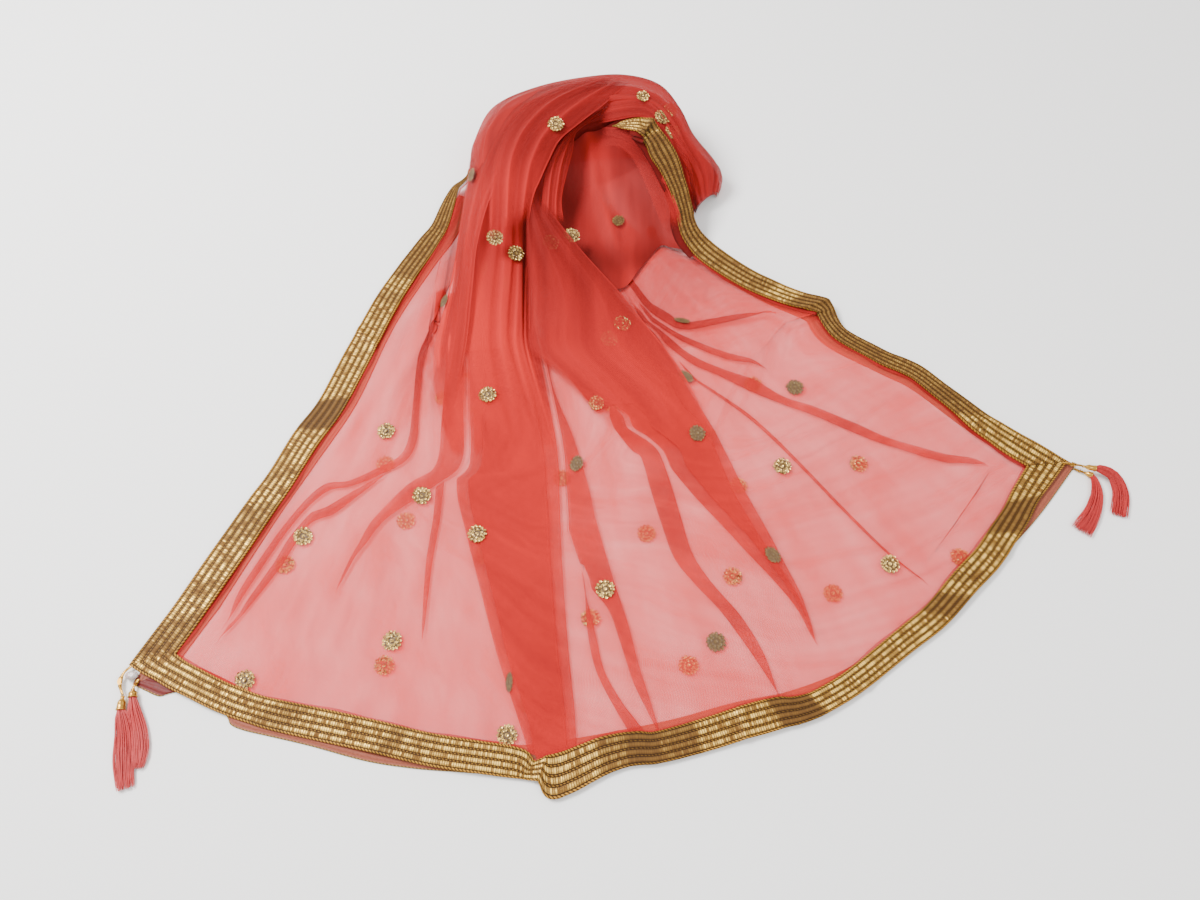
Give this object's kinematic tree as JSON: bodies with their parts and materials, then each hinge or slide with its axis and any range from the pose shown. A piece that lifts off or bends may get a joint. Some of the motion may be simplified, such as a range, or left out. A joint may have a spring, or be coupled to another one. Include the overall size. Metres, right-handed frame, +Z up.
{
  "type": "dupatta stole",
  "caption": "Sheer net dupatta folded in half and laid as a fan, gathered into a heap at the back, with woven gold borders and corner tassels",
  "frame": {"origin": "centre of the outline seen from above, on the surface that the cloth lies on", "axes": "X runs along the long side of the fan from its left corner to its right, Y from the front hem to the gathered heap, Z up from the surface"},
  "size_m": [0.9708, 0.8282, 0.0832],
  "materials": {
    "net": "sheer coral tulle net with small gold sequin rosettes",
    "gold_border": "woven metallic gold border with lengthwise ribs and sparkle",
    "gold_metal": "polished gold-coloured bell cap",
    "thread": "loose silky coral thread",
    "gold_cord": "twisted gold thread loop",
    "bead": "small milky bead"
  },
  "bodies": {
    "root": {"net_lower": "net", "net_upper": "net", "net_drop": "net", "net_crown": "net", "net_hollow": "net", "border_left_lower": "gold_border", "border_hem_lower": "gold_border", "border_right_lower": "gold_border", "border_left_upper": "gold_border", "border_hem_upper": "gold_border", "border_right_upper": "gold_border", "tassel_cap_left_upper": "gold_metal", "tassel_cap_left_lower": "gold_metal", "tassel_cap_right_upper": "gold_metal", "tassel_cap_right_lower": "gold_metal", "tassel_threads_left_upper": "thread", "tassel_threads_left_lower": "thread", "tassel_threads_right_upper": "thread", "tassel_threads_right_lower": "thread", "tassel_cord_left_upper": "gold_cord", "tassel_cord_left_lower": "gold_cord", "tassel_cord_right_upper": "gold_cord", "tassel_cord_right_lower": "gold_cord", "corner_bead_left": "bead"}
  },
  "joints": []
}
